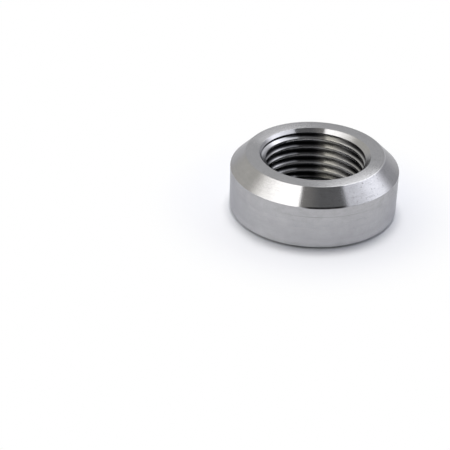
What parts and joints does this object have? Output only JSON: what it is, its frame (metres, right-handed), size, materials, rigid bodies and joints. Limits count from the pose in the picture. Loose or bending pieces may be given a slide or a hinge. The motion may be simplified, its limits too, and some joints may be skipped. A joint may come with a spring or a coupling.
{
  "type": "lambda sensor nut",
  "caption": "Round weld-in nut that holds a lambda sensor: a turned steel ring with a broad bevel round its top and a fine-threaded through hole countersunk at both ends.",
  "frame": {"origin": "centre of the base face, on the axis of the thread", "axes": "+Z along the thread's axis, from the base up to the seal face inside the bevel"},
  "size_m": [0.028, 0.028, 0.01],
  "materials": {
    "turned_steel": "finely turned, bare stainless steel with faint concentric tool marks"
  },
  "bodies": {
    "root": {"sensor_nut": "turned_steel"}
  },
  "joints": []
}
